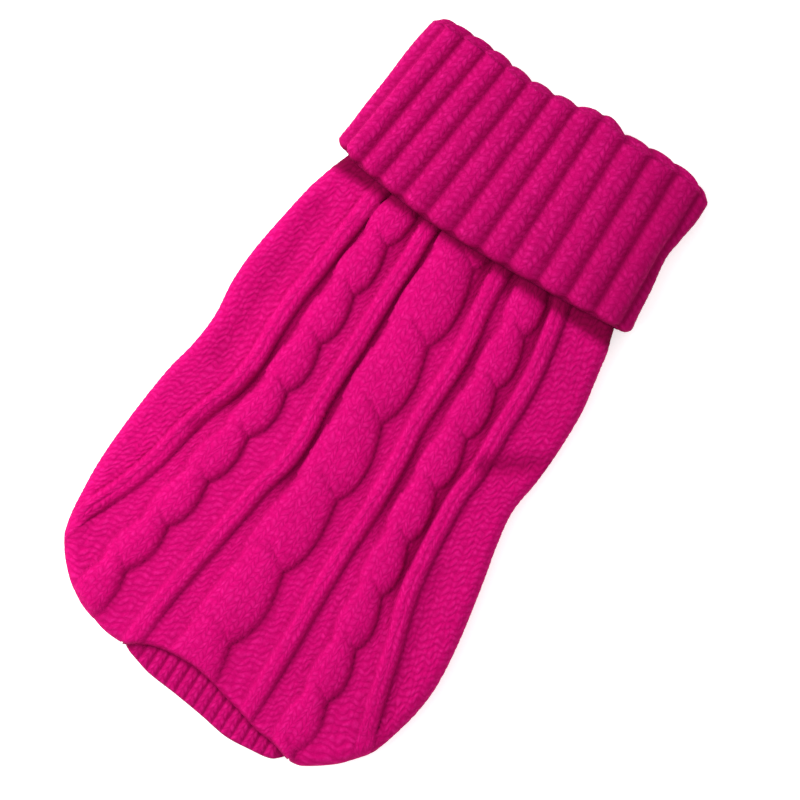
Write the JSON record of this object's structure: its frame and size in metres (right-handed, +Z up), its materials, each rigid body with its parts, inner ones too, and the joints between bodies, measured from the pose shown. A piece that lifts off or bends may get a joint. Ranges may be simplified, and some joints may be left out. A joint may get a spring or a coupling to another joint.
{
  "type": "dog sweater",
  "caption": "Chunky cable-knit turtleneck sweater for a small dog, lying flat with its back up: folded ribbed collar, cabled back, plain belly with leg openings and a narrow ribbed hem band.",
  "frame": {"origin": "middle of the footprint, on the table that the sweater lies on", "axes": "+Z up off the table, +Y along the back towards the neck, +X towards the right side as seen from above"},
  "size_m": [0.151, 0.2706, 0.017],
  "materials": {
    "back_knit": "hot pink chunky yarn in cables, ribs and reverse stocking stitch",
    "belly_knit": "hot pink chunky yarn in stocking stitch",
    "collar_rib": "hot pink chunky yarn in two by two rib",
    "hem_rib": "hot pink chunky yarn in one by one rib",
    "leg_rib": "hot pink chunky yarn in one by one rib"
  },
  "bodies": {
    "root": {"back_panel": "back_knit", "belly_panel": "belly_knit", "collar": "collar_rib", "hem_band": "hem_rib", "leg_band_left": "leg_rib", "leg_band_right": "leg_rib"}
  },
  "joints": []
}
